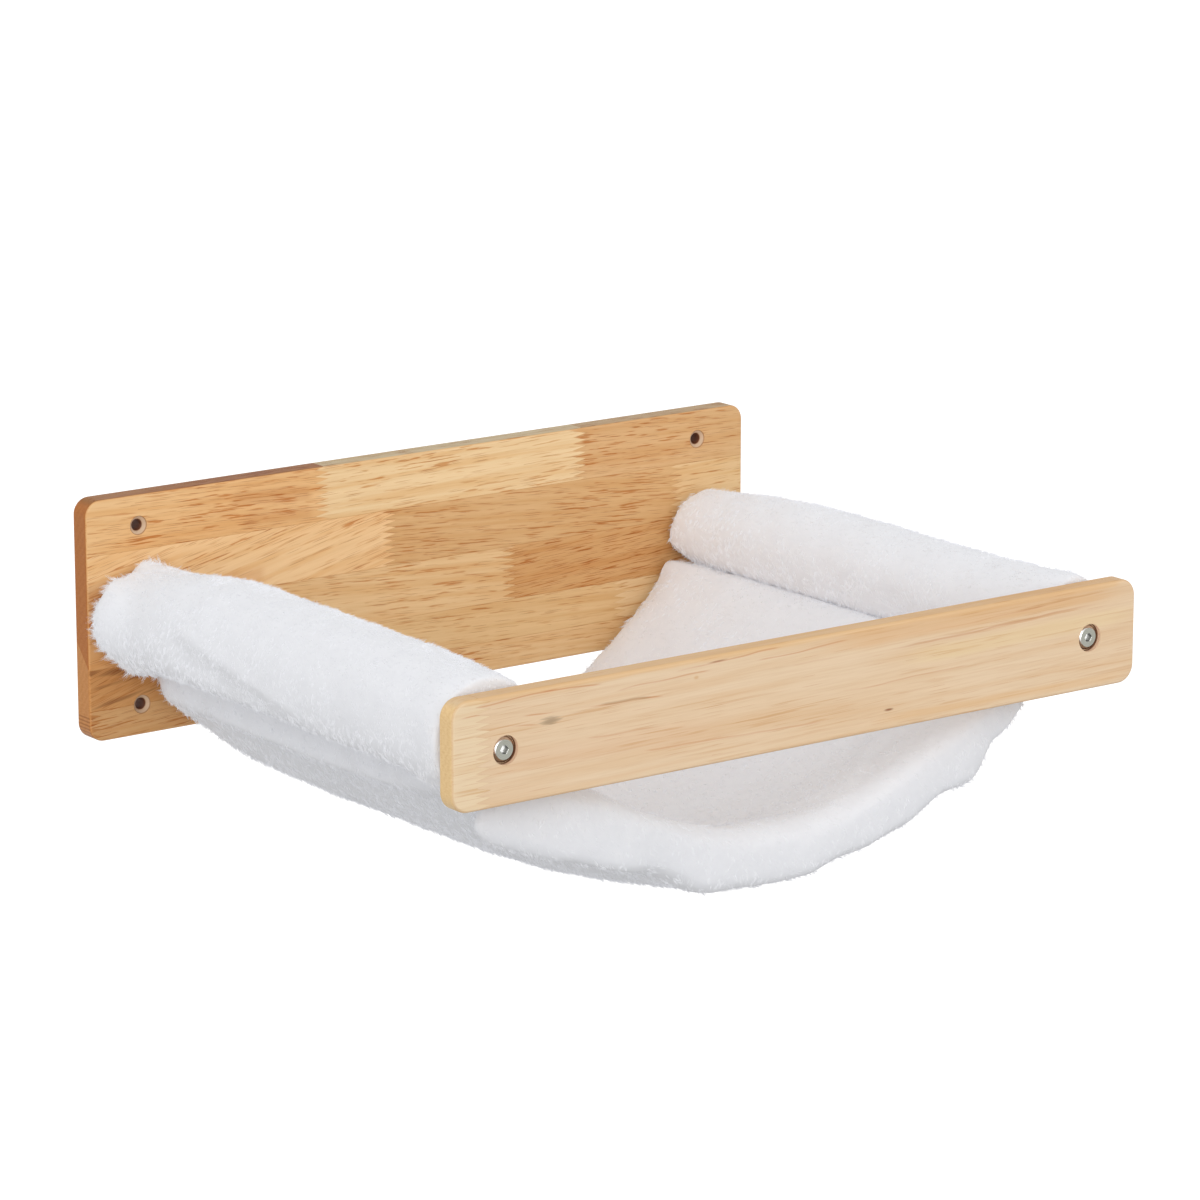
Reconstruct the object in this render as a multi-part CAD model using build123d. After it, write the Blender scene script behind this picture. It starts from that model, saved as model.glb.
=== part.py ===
from build123d import *
import os
from math import sin, cos, radians, hypot

# Wall-mounted cat hammock: a wooden back board on the wall, two rods standing
# out from it, a front rail across their ends, and a deep plush sling whose
# sleeves run along the rods. Millimetres. X runs along the wall, to the right
# seen from the front, Y runs into the wall and Z runs up. The origin is the
# middle of the back board's wall face.

# Overall sizes. The board and the rail are cut to one width.
width = 500
board_height = 150
board_thickness = 15
reach = 400
rail_height = 64
rail_thickness = 13
rod_diameter = 25
rod_inset = 36

# Rounding of the wood
board_corner_radius = 10
board_edge_radius = 1.5
rail_corner_radius = 11
rail_edge_radius = 2
rod_end_chamfer = 1

# Screw holes that fasten the board to the wall
wall_hole_end_inset = 37
wall_hole_side_inset = 19
wall_hole_diameter = 7
countersink_diameter = 12
countersink_depth = 2.5

# Flat-headed bolts that draw the wood onto the rods
bolt_shank_diameter = 6
bolt_length = 30
bolt_head_diameter = 15
bolt_head_thickness = 3
bolt_head_bevel = 1.7
hex_across_flats = 5
hex_depth = 2.2
head_recess_diameter = 17
head_recess_depth = 4.2
bolt_hole_clearance = 0.5

# Threaded inserts sunk in the ends of the rods
insert_diameter = 10
insert_length = 18
insert_sink = 1
insert_fit_gap = 0.1
thread_gap = 0.15
tip_room = 4

# Plush sleeves round the rods
sleeve_bore_gap = 0.4
sleeve_end_gap = 3
left_crown_height = 47
right_crown_height = 36
left_sleeve_hang = 35
right_sleeve_hang = 33
sleeve_roll_outset = 11
seam_low_outset = 1
seam_low_drop = 30
seam_high_inset = 32
seam_high_drop = 12
seam_gap = 0.3

# Plush panel that hangs between the sleeves
sag_depth = 147
panel_thickness = 34
front_hem_lift = 29
under_radius = 220
under_half_angle = 30
knee_inset = 7
knee_drop = 17

# How far a cut runs past the face it opens
overrun = 1

# Stations of a sleeve, as shares: how far along it from its front end, how
# much of its full size it has there, how much of its crown has risen, and how
# far its seam is drawn in.
sleeve_station_shares = [
    (0.000, 0.92, 0.45, 0.20),
    (0.012, 1.00, 0.50, 0.10),
    (0.050, 1.02, 0.56, 0.02),
    (0.200, 1.01, 0.78, 0.00),
    (0.500, 1.00, 0.94, 0.00),
    (0.680, 0.99, 1.00, 0.00),
    (0.780, 1.00, 0.66, 0.00),
    (0.860, 1.00, 0.25, 0.00),
    (0.955, 0.98, 0.05, 0.00),
    (0.988, 0.93, 0.05, 0.08),
    (1.000, 0.82, 0.00, 0.20),
]
# A sleeve's crown before it rises, as a share of its full height
flat_crown_share = 0.80
# How far a seam's high edge is drawn in, as a share of what its low edge is
high_tuck_share = 0.10

# Stations of the panel, as shares: how far along it from its front hem, how
# much of the front hem's lift it has there, its thickness, and how far its
# seams are drawn in.
panel_station_shares = [
    (0.000, 1.00, 0.56, 0.82),
    (0.014, 1.00, 1.02, 0.72),
    (0.048, 1.00, 1.26, 0.60),
    (0.105, 0.80, 1.30, 0.36),
    (0.165, 0.50, 1.18, 0.22),
    (0.240, 0.23, 1.06, 0.11),
    (0.350, 0.06, 1.01, 0.06),
    (0.500, 0.00, 1.00, 0.04),
    (0.935, 0.00, 1.02, 0.04),
    (0.984, 0.00, 0.94, 0.09),
    (1.000, 0.00, 0.60, 0.24),
]

# Places worked out from the sizes above
rod_x = width / 2 - rod_inset
wall_hole_x = width / 2 - wall_hole_end_inset
wall_hole_z = board_height / 2 - wall_hole_side_inset
board_front_y = -board_thickness
rail_front_y = -reach
rail_back_y = rail_front_y + rail_thickness
rod_length = board_front_y - rail_back_y
bolt_hole_diameter = bolt_shank_diameter + 2 * bolt_hole_clearance
signs = {"left": -1, "right": 1}


def facing_front(y):
    """A plane across the rods at y, with its own x along X and its own y along Z."""
    return Plane(origin=(0, y, 0), x_dir=(1, 0, 0), z_dir=(0, -1, 0))


def plank(width, height, thickness, back_y, corner_radius, edge_radius):
    """An upright plank with rounded corners and softened edges."""
    blank = extrude(facing_front(back_y) * RectangleRounded(width, height, corner_radius), thickness)
    faces = blank.faces().sort_by(Axis.Y)
    return fillet(faces[0].edges() + faces[-1].edges(), edge_radius)


def round_bar(x, z, start_y, length, diameter):
    """A round bar that starts at start_y and runs towards the front; it serves as a cutter too."""
    return extrude(facing_front(start_y) * Pos(x, z) * Circle(diameter / 2), length)


def bolt_passage(x, head_face_y, inward):
    """The recess for a bolt's head and the hole for its shank, sunk from one face."""
    recess_floor_y = head_face_y + inward * head_recess_depth
    recess = round_bar(x, 0, max(head_face_y, recess_floor_y), head_recess_depth, head_recess_diameter)
    hole_depth = board_thickness + rail_thickness
    hole_start = head_face_y if inward < 0 else head_face_y + hole_depth
    return recess + round_bar(x, 0, hole_start, hole_depth, bolt_hole_diameter)


def countersunk_hole(x, z):
    """A wall screw's hole through the board, with its countersink in the front face."""
    hole = round_bar(x, z, overrun, board_thickness + 2 * overrun, wall_hole_diameter)
    spread = (countersink_diameter - wall_hole_diameter) / 2 / countersink_depth
    mouth = facing_front(board_front_y - overrun) * Pos(x, z)
    mouth_radius = countersink_diameter / 2 + overrun * spread
    floor = facing_front(board_front_y + countersink_depth) * Pos(x, z)
    cone = loft([mouth * Circle(mouth_radius), floor * Circle(wall_hole_diameter / 2)])
    return hole + cone


def make_back_board():
    """The board that screws to the wall, with four wall holes and two bolt passages."""
    board = plank(width, board_height, board_thickness, 0, board_corner_radius, board_edge_radius)
    for sign in signs.values():
        board -= bolt_passage(sign * rod_x, 0, -1)
        for level in (-1, 1):
            board -= countersunk_hole(sign * wall_hole_x, level * wall_hole_z)
    return board


def make_front_rail():
    """The rail across the front ends of the rods, with two bolt passages."""
    rail = plank(width, rail_height, rail_thickness, rail_back_y, rail_corner_radius, rail_edge_radius)
    for sign in signs.values():
        rail -= bolt_passage(sign * rod_x, rail_front_y, 1)
    return rail


def make_rod(sign):
    """A round rod between the board and the rail, bored at both ends for its inserts."""
    rod = round_bar(sign * rod_x, 0, board_front_y, rod_length, rod_diameter)
    ends = rod.edges().filter_by(GeomType.CIRCLE)
    rod = chamfer(ends, rod_end_chamfer)
    bore_diameter = insert_diameter + 2 * insert_fit_gap
    bore_depth = insert_sink + insert_length
    tip_depth = bolt_length + tip_room
    rod -= round_bar(sign * rod_x, 0, board_front_y, bore_depth, bore_diameter)
    rod -= round_bar(sign * rod_x, 0, board_front_y, tip_depth, bolt_hole_diameter)
    rod -= round_bar(sign * rod_x, 0, rail_back_y + bore_depth, bore_depth, bore_diameter)
    rod -= round_bar(sign * rod_x, 0, rail_back_y + tip_depth, tip_depth, bolt_hole_diameter)
    return rod


def make_insert(sign, end_y, inward):
    """A threaded insert sunk in a rod's end; inward points into the rod."""
    start_y = end_y + inward * insert_sink
    first_y = max(start_y, start_y + inward * insert_length)
    barrel = round_bar(sign * rod_x, 0, first_y, insert_length, insert_diameter)
    return barrel - round_bar(sign * rod_x, 0, first_y, insert_length, bolt_shank_diameter + 2 * thread_gap)


def make_bolt(sign, wood_face_y, inward):
    """A flat-headed bolt with a hex socket, its face just under the wood's face."""
    head = Cylinder(bolt_head_diameter / 2, bolt_head_thickness, align=(Align.CENTER, Align.CENTER, Align.MIN))
    head = chamfer(head.edges().sort_by(Axis.Z)[-1], bolt_head_bevel)
    shank_align = (Align.CENTER, Align.CENTER, Align.MAX)
    shank = Cylinder(bolt_shank_diameter / 2, bolt_length, align=shank_align)
    socket = Plane.XY.offset(bolt_head_thickness - hex_depth)
    hexagon = RegularPolygon(hex_across_flats / 2, 6, major_radius=False)
    bolt = head + shank - extrude(socket * hexagon, hex_depth)
    seat_y = wood_face_y + inward * head_recess_depth
    seat = Plane(origin=(sign * rod_x, seat_y, 0), x_dir=(1, 0, 0), z_dir=(0, -inward, 0))
    return seat * bolt


def seam_point(sign, share, gap):
    """A point beside the seam plane, share of the way from its low edge to its high edge."""
    across = seam_low_outset + seam_high_inset
    climb = seam_low_drop - seam_high_drop
    length = hypot(across, climb)
    inset = share * across - seam_low_outset + gap * climb / length
    drop = seam_low_drop - share * climb + gap * across / length
    return Vector(sign * (rod_x - inset), -drop)


def sleeve_section(sign, crown_height, hang, station):
    """A sleeve's outline across the rod: over the crown, down outside, rolled under to the seam."""
    along, fullness, rise, tuck = station
    y = rail_back_y + sleeve_end_gap + along * (rod_length - 2 * sleeve_end_gap)
    crown = fullness * crown_height * (flat_crown_share + rise * (1 - flat_crown_share))
    top = Vector(sign * rod_x, crown)
    low = Vector(sign * (rod_x + fullness * sleeve_roll_outset), -fullness * hang)
    seam_low = seam_point(sign, tuck, 0)
    seam_high = seam_point(sign, 1 - tuck * high_tuck_share, 0)
    outside = TangentArc(top, low, tangent=(sign, 0))
    roll = TangentArc(low, seam_low, tangent=outside % 1)
    inside = TangentArc(top, seam_high, tangent=(-sign, 0))
    return facing_front(y) * make_face([outside, roll, Line(seam_low, seam_high), inside])


def make_sleeve(sign, crown_height, hang):
    """A loose plush tube along a rod, with rounded ends and a bore that clears the rod."""
    sections = [sleeve_section(sign, crown_height, hang, station) for station in sleeve_station_shares]
    bore = rod_diameter + 2 * sleeve_bore_gap
    return loft(sections, ruled=True) - round_bar(sign * rod_x, 0, board_front_y, rod_length, bore)


def hanging_curve(depth, radius, ends):
    """One face of the panel: an arc across the bottom, and a flank from it up to each end."""
    angle = radians(under_half_angle)
    starts = {sign: Vector(sign * radius * sin(angle), radius * (1 - cos(angle)) - depth) for sign in ends}
    curve = {"bottom": ThreePointArc(starts[-1], Vector(0, -depth), starts[1])}
    for sign, end in ends.items():
        curve[sign] = TangentArc(starts[sign], end, tangent=(sign * cos(angle), sin(angle)))
    return curve


def panel_section(station):
    """The panel's closed outline across the rods at one station."""
    along, lift, thickness, tuck = station
    y = rail_back_y + sleeve_end_gap + along * (rod_length - 2 * sleeve_end_gap)
    middle = sag_depth - panel_thickness / 2 - lift * front_hem_lift
    half = thickness * panel_thickness / 2
    lows = {sign: seam_point(sign, tuck, seam_gap) for sign in signs.values()}
    highs = {sign: seam_point(sign, 1 - tuck * high_tuck_share, seam_gap) for sign in signs.values()}
    knees = {sign: lows[sign] - Vector(sign * knee_inset, knee_drop) for sign in signs.values()}
    under = hanging_curve(middle + half, under_radius, knees)
    lying = hanging_curve(middle - half, under_radius - panel_thickness, highs)
    outline = list(under.values()) + list(lying.values())
    for sign in signs.values():
        outline.append(TangentArc(knees[sign], lows[sign], tangent=under[sign] % 1))
        outline.append(Line(lows[sign], highs[sign]))
    return facing_front(y) * make_face(outline)


def make_panel():
    """The sagging plush panel, with rolled hems at its front and back."""
    return loft([panel_section(station) for station in panel_station_shares], ruled=True)


def make_parts():
    """Every piece of the hammock, by name."""
    parts = {"back_board": make_back_board(), "front_rail": make_front_rail()}
    for side, sign in signs.items():
        parts[side + "_rod"] = make_rod(sign)
        parts["rear_insert_" + side] = make_insert(sign, board_front_y, -1)
        parts["front_insert_" + side] = make_insert(sign, rail_back_y, 1)
        parts["rear_bolt_" + side] = make_bolt(sign, 0, -1)
        parts["front_bolt_" + side] = make_bolt(sign, rail_front_y, 1)
    parts["left_sleeve"] = make_sleeve(-1, left_crown_height, left_sleeve_hang)
    parts["right_sleeve"] = make_sleeve(1, right_crown_height, right_sleeve_hang)
    parts["sling_panel"] = make_panel()
    return parts


os.makedirs("parts", exist_ok=True)
for name, piece in make_parts().items():
    export_step(piece, "parts/" + name + ".step")
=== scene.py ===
"""The wall hammock's look: finger-jointed wood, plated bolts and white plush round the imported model."""

import math

import bpy
import numpy as np
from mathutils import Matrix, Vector, noise


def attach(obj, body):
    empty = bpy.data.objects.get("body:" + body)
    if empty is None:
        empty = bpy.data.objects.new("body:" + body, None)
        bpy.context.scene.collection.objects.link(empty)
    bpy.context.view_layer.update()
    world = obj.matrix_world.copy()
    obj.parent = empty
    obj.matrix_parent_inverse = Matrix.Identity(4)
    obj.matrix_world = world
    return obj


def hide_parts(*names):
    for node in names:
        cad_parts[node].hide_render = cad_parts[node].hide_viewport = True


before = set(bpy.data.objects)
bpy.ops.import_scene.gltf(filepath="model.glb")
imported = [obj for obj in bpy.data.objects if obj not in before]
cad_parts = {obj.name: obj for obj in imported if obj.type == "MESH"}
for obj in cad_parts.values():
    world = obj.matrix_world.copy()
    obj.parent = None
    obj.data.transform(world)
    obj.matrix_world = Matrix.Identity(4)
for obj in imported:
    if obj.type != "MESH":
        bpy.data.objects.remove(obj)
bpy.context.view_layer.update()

MM = 0.001
ROD_X = 214 * MM
WALL_FACE_Y = 0.0
BOARD_FACE_Y = -15 * MM
RAIL_FACE_Y = -400 * MM
AWAY = 9.0  # metres, past the end of any piece
scene = bpy.context.scene


def srgb(red, green, blue):
    """A colour written as screen values from 0 to 255, as the shader wants it."""
    steps = [value / 255 for value in (red, green, blue)]
    return tuple(s / 12.92 if s <= 0.04045 else ((s + 0.055) / 1.055) ** 2.4 for s in steps)


# Material recipes


def blank_tree(holder):
    """The node tree of a new material or world, with nothing in it yet."""
    holder.use_nodes = True
    holder.node_tree.nodes.clear()
    return holder.node_tree


def fill_socket(tree, socket, value):
    """Links a socket to another node's, or gives it a value of its own."""
    if isinstance(value, Signal):
        value = value.socket
    if isinstance(value, bpy.types.NodeSocket):
        tree.links.new(value, socket)
    elif socket.type == "RGBA" and len(value) == 3:
        socket.default_value = (*value, 1.0)
    else:
        socket.default_value = value


def add_node(tree, kind, inputs, **settings):
    node = tree.nodes.new(kind)
    for name, value in settings.items():
        setattr(node, name, value)
    for name, value in inputs.items():
        fill_socket(tree, node.inputs[name], value)
    return node


class Signal:
    """A number, place or colour on its way through a material, so that a pattern reads as a sum."""

    def __init__(self, recipe, socket):
        self.recipe = recipe
        self.socket = socket

    def __add__(self, other):
        return self.recipe.calc("ADD", self, other)

    __radd__ = __add__

    def __sub__(self, other):
        return self.recipe.calc("SUBTRACT", self, other)

    def __rsub__(self, other):
        return self.recipe.calc("SUBTRACT", other, self)

    def __mul__(self, other):
        return self.recipe.calc("MULTIPLY", self, other)

    def __truediv__(self, other):
        return self.recipe.calc("DIVIDE", self, other)

    def above(self, edge):
        return self.recipe.calc("GREATER_THAN", self, edge)

    def below(self, edge):
        return self.recipe.calc("LESS_THAN", self, edge)

    def size(self):
        return self.recipe.calc("ABSOLUTE", self)

    def most(self, other):
        return self.recipe.calc("MAXIMUM", self, other)

    def rise(self, low, high):
        """0 up to low, 1 from high on, and smooth between them."""
        inputs = {"Value": self, "From Min": low, "From Max": high}
        return self.recipe.step("ShaderNodeMapRange", inputs, "Result", interpolation_type="SMOOTHSTEP")

    def fall(self, low, high):
        """1 up to low, 0 from high on, and smooth between them."""
        return 1.0 - self.rise(low, high)


class Recipe:
    """One material, built a step at a time on a single shader."""

    def __init__(self, name):
        self.material = bpy.data.materials.new(name)
        self.tree = blank_tree(self.material)
        self.shader = add_node(self.tree, "ShaderNodeBsdfPrincipled", {})
        add_node(self.tree, "ShaderNodeOutputMaterial", {"Surface": self.shader.outputs["BSDF"]})

    def step(self, kind, inputs, output=0, **settings):
        """Adds a node, and passes on one of its outputs."""
        return Signal(self, add_node(self.tree, kind, inputs, **settings).outputs[output])

    def calc(self, operation, first, second=0.0):
        return self.step("ShaderNodeMath", {0: first, 1: second}, operation=operation)

    def place(self, kind="Object"):
        """The point on the surface, or with kind Normal the way the surface faces, as x, y, z."""
        return self.split(self.step("ShaderNodeTexCoord", {}, kind))

    def split(self, vector):
        node = add_node(self.tree, "ShaderNodeSeparateXYZ", {0: vector})
        return [Signal(self, output) for output in node.outputs]

    def join(self, x, y, z):
        return self.step("ShaderNodeCombineXYZ", {0: x, 1: y, 2: z})

    def length(self, x, y, z):
        return self.step("ShaderNodeVectorMath", {0: self.join(x, y, z)}, "Value", operation="LENGTH")

    def cloud(self, vector, detail=2.0, roughness=0.5):
        """Soft noise round 0.5, with one blot to each unit of the vector."""
        inputs = {"Vector": vector, "Scale": 1.0, "Detail": detail, "Roughness": roughness}
        return self.step("ShaderNodeTexNoise", inputs, "Fac")

    def blend(self, amount, first, second, how="MIX"):
        inputs = {0: amount, 6: first, 7: second}
        return self.step("ShaderNodeMix", inputs, 2, data_type="RGBA", blend_type=how)

    def tint(self, amount, colour, tint):
        """Multiplies a colour by a tint, fully where the amount is 1."""
        return self.blend(amount, colour, tint, "MULTIPLY")

    def table(self, number, rows):
        """Row number of a table of colours or triples."""
        node = add_node(self.tree, "ShaderNodeValToRGB", {0: (number + 0.5) / len(rows)})
        ramp = node.color_ramp
        ramp.interpolation = "CONSTANT"
        for index, row in enumerate(rows):
            step = ramp.elements[0] if index == 0 else ramp.elements.new(index / len(rows))
            step.color = (*row, 1.0)
        while len(ramp.elements) > len(rows):
            ramp.elements.remove(ramp.elements[-1])
        return Signal(self, node.outputs[0])

    def relief(self, height, distance, strength):
        return self.step("ShaderNodeBump", {"Height": height, "Distance": distance, "Strength": strength})

    def finish(self, **sockets):
        """Sets the shader's own sockets, named with underscores."""
        for name, value in sockets.items():
            fill_socket(self.tree, self.shader.inputs[name.replace("_", " ")], value)
        return self.material


# Wood

FINGER_PITCH = 4.2 * MM
FINGER_LENGTH = 10 * MM
STAVES_A_ROW = 3
STAVE_SHIFT = 0.731  # how far apart in the wood's pattern one stave and the next are cut
TABLE_LIFT = 0.5  # added to a table's numbers that may be below zero, which a table can't hold

# Cells of the grain's patterns a metre: along the grain, into the wood and across.
FIBRE_CELLS = (28, 420, 900)
STREAK_CELLS = (9, 110, 230)
DRIFT_CELLS = (5, 22, 30)
FLECK_PITCH = 0.85 * MM
DROP_HALF_LENGTH = 0.46  # of a fleck's cell
DROP_HALF_WIDTH = 0.21
HEART_WANDER = 3.0 * MM
RING_TURNS = 1500  # radians a metre
RING_WANDER = 14 * MM
END_BREAK_SLANT = 1.2
TOOTH_WIDTH = 1.15 * MM

WARM_TINT = (0.94, 0.85, 0.74)
PALE_TINT = (1.06, 1.07, 1.09)
FIBRE_TINT = (0.87, 0.79, 0.69)
GLUE_TINT = (0.80, 0.66, 0.52)
RING_TINT = (0.80, 0.66, 0.52)
END_FIBRE_TINT = (0.82, 0.72, 0.60)
TEETH_TINT = (0.55, 0.42, 0.30)


def stave_at(r, x, z, plan):
    """The number of the stave at a point, and how far the point is past its row's two joints."""
    row = sum(z.below(line) for line in plan["glue_lines"])
    fingers = r.calc("PINGPONG", z, FINGER_PITCH / 2) * (2 * FINGER_LENGTH / FINGER_PITCH)
    toothed_x = x + fingers - FINGER_LENGTH / 2
    lifted = [(TABLE_LIFT + first, TABLE_LIFT + second, 0) for first, second in plan["joints"]]
    joints = r.split(r.table(row, lifted))[:2]
    past = [toothed_x - (joint - TABLE_LIFT) for joint in joints]
    return row * STAVES_A_ROW + past[0].above(0) + past[1].above(0), past


def vessel_flecks(r, cell, share):
    """Short dark vessel lines: slim drops strung along the grain, in a share of the cells."""
    cells = add_node(r.tree, "ShaderNodeTexVoronoi", {"Vector": cell, "Scale": 1.0})
    chance, darkness, _ = r.split(Signal(r, cells.outputs["Color"]))
    middle = Signal(r, cells.outputs["Position"])
    x, y, z = r.split(r.step("ShaderNodeVectorMath", {0: cell, 1: middle}, operation="SUBTRACT"))
    drop = r.length(x / DROP_HALF_LENGTH, y / DROP_HALF_LENGTH, z / DROP_HALF_WIDTH)
    return drop.fall(0.55, 1.0) * chance.below(share) * (darkness * 0.6 + 0.4)


def add_heart_lines(r, colour, x, y, z, streak, lines):
    """Coloured lines of the heartwood, each from one place on the face to another."""
    wander = (r.cloud(r.join(x * 30, y * 30, z * 4), detail=1.0) - 0.5) * HEART_WANDER
    for line in lines:
        (x0, z0), (x1, z1) = line["start"], line["end"]
        slope = (z1 - z0) / (x1 - x0)
        off_line = (z - (x - x0 * MM) * slope - z0 * MM + wander).size()
        fade = line["fade"]
        ends = x.rise(x0 * MM, (x0 + fade) * MM) * x.fall((x1 - fade) * MM, x1 * MM)
        band = off_line.fall(line["width"] * 0.3 * MM, line["width"] * MM)
        broken = streak.rise(0.35, 0.55) if line["broken"] else 1.0
        colour = r.blend(band * ends * broken * line["strength"], colour, srgb(*line["tone"]))
    return colour


def add_marks(r, colour, x, z, fibre, marks):
    """Small knots and marks, each an oval along the grain."""
    for spot in marks:
        aside = (x - spot["x"] * MM) / (spot["long"] * MM)
        upward = (z - spot["z"] * MM) / (spot["tall"] * MM)
        smudge = r.length(aside, 0.0, upward) + (fibre - 0.5) * spot["ragged"]
        colour = r.blend(smudge.fall(0.25, 1.0) * spot["strength"], colour, srgb(*spot["tone"]))
    return colour


def seam_lines(z, past, plan):
    """Glue lines, and more faintly the finger joints, as fine lines."""
    seam = past[0].size().fall(0.10 * MM, 0.75 * MM) * 0.55
    seam = seam.most(past[1].size().fall(0.10 * MM, 0.75 * MM) * 0.55)
    for line in plan["glue_lines"]:
        seam = seam.most((z - line).size().fall(0.10 * MM, 0.32 * MM))
    return seam


def end_grain(r, y, z, fibre, drift, plan):
    """End grain is deeper, and one stave ends slanting across it with fine teeth at the foot."""
    upper_tone, lower_tone = (srgb(*tone) for tone in plan["end_tones"])
    slanted_z = z - (y - plan["face_y"]) * END_BREAK_SLANT
    colour = r.blend(slanted_z.below(plan["end_break"]), upper_tone, lower_tone)
    from_heart = y * 0.8 + z * 0.6 + (drift - 0.5) * RING_WANDER
    rings = r.calc("SINE", from_heart * RING_TURNS) * 0.5 + 0.5
    colour = r.tint(rings * plan["rings"], colour, RING_TINT)
    colour = r.tint(fibre.rise(0.38, 0.75) * 0.5, colour, END_FIBRE_TINT)
    teeth = r.calc("PINGPONG", z, TOOTH_WIDTH).fall(0.25 * MM, 0.75 * MM) * z.below(plan["teeth_below"])
    return r.tint(teeth * 0.7, colour, TEETH_TINT)


def add_bores(r, colour, x, y, z, facing_y, bores):
    """Bores are darker inside with painted shade, and a countersink shows fresh pale wood inside a darker
    rim.
    """
    off_face = facing_y.below(0.9)
    for bore in bores:
        radius = r.length(x.size() - bore["x"], 0.0, z.size() - bore["z"])
        # Past the pale depth the wall turns to painted shade.
        sunk = (y - bore["face_y"]).size().rise(bore["pale_depth"] * 0.7, bore["pale_depth"])
        wall = r.blend(sunk, srgb(*bore["wall_tone"]), srgb(*bore["sunk_shade_tone"]))
        if "rim" in bore:
            wall = r.blend(radius.rise(bore["rim"] * 0.93, bore["rim"]), wall, srgb(*bore["rim_tone"]))
        colour = r.blend(radius.below(bore["radius"]) * off_face, colour, wall)
        # The narrow bore itself is darkened as painted shade.
        if "deep_radius" in bore:
            colour = r.blend(radius.below(bore["deep_radius"]), colour, srgb(*bore["deep_shade_tone"]))
    return colour


def staved_wood(name, plan):
    """Solid wood of staves glued edge to edge and finger-jointed end to end.

    Each stave has its own tone, slant of grain and share of short dark flecks.
    """
    r = Recipe(name)
    x, y, z = r.place()
    facing_x, facing_y, facing_z = (way.size() for way in r.place("Normal"))
    number, past = stave_at(r, x, z, plan)
    tone = r.table(number, [srgb(*stave["tone"]) for stave in plan["staves"]])
    traits = [(TABLE_LIFT + math.radians(s["slant"]), s["flecks"], s["warmth"]) for s in plan["staves"]]
    slant, fleck_share, warmth = r.split(r.table(number, traits))
    slant = slant - TABLE_LIFT

    # Grain runs along the stave, turned by its slant.
    cosine = r.calc("COSINE", slant)
    sine = r.calc("SINE", slant)
    along = x * cosine + z * sine
    across = z * cosine - x * sine
    depth = y + number * STAVE_SHIFT

    def grain(cells, **kind):
        return r.cloud(r.join(along * cells[0], depth * cells[1], across * cells[2]), **kind)

    fibre = grain(FIBRE_CELLS, detail=4.0, roughness=0.6)
    streak = grain(STREAK_CELLS, detail=3.0)
    drift = grain(DRIFT_CELLS)

    # Vessels crowd where the wood drifts darker. The longest show as hairlines.
    crowding = drift.rise(0.30, 0.68) * 1.3 + 0.25
    cell = r.join(along / plan["fleck_length"], depth / FLECK_PITCH, across / FLECK_PITCH)
    flecks = vessel_flecks(r, cell, fleck_share * crowding)
    run, pitch = plan["hair_run"], plan["hair_pitch"]
    hair = r.cloud(r.join(along / run, depth / pitch, across / pitch), roughness=0.55)
    hairs = hair.rise(0.56, 0.68) * crowding * plan["hairs"]

    colour = r.tint(drift.rise(0.35, 0.75) * warmth, tone, WARM_TINT)
    colour = r.tint(streak.rise(0.42, 0.70) * plan["streaks"], colour, WARM_TINT)
    colour = r.tint(streak.fall(0.30, 0.50) * plan["streaks"] * 0.5, colour, PALE_TINT)
    colour = r.tint(fibre.rise(0.38, 0.75) * 0.40, colour, FIBRE_TINT)
    colour = add_heart_lines(r, colour, x, y, z, streak, plan["heart_lines"])
    colour = r.tint(hairs, colour, plan["hair_tint"])
    colour = r.tint(flecks, colour, plan["fleck_tint"])
    colour = add_marks(r, colour, x, z, fibre, plan["marks"])
    seam = seam_lines(z, past, plan)
    colour = r.tint(seam * 0.75, colour, GLUE_TINT)

    # Top and bottom faces take a darker tint that changes at the first joint, a rounded corner runs from
    # edge to end, and eased arrises take a warmer brown, a painted highlight.
    edge_tint = r.blend(past[0].above(0), *plan["edge_tints"])
    edge_colour = r.tint(1.0, colour, edge_tint)
    end_colour = end_grain(r, y, z, fibre, drift, plan)
    side_colour = r.blend(facing_x.rise(0.45, 0.85), edge_colour, end_colour)
    colour = r.blend(facing_y.fall(0.30, 0.80), colour, side_colour)
    squareness = facing_x.most(facing_y).most(facing_z)
    arris = squareness.fall(0.80, 0.97) * facing_y.rise(0.25, 0.45)
    # Painted highlight: a warmer line along the eased arrises.
    colour = r.blend(arris * plan["eased"], colour, srgb(*plan["arris_highlight_tone"]))
    colour = add_bores(r, colour, x, y, z, facing_y, plan["bores"])

    height = fibre * 0.5 - flecks * 0.6 - seam
    return r.finish(
        Base_Color=colour,
        Roughness=fibre * 0.25 + 0.38 + flecks * 0.2,
        Normal=r.relief(height, 0.12 * MM, 0.6),
        Specular_IOR_Level=0.20,
        Coat_Weight=0.05,
        Coat_Roughness=0.35,
    )


def stave(tone, slant=0.0, flecks=0.25, warmth=0.4):
    return {"tone": tone, "slant": slant, "flecks": flecks, "warmth": warmth}


def heart_line(start, end, width, strength, tone=(206, 132, 84), broken=True, fade=8):
    return {
        "start": start, "end": end, "width": width, "strength": strength,
        "tone": tone, "broken": broken, "fade": fade,
    }


def mark(x, z, long, tall, strength, tone, ragged):
    return {
        "x": x, "z": z, "long": long, "tall": tall,
        "strength": strength, "tone": tone, "ragged": ragged,
    }


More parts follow.
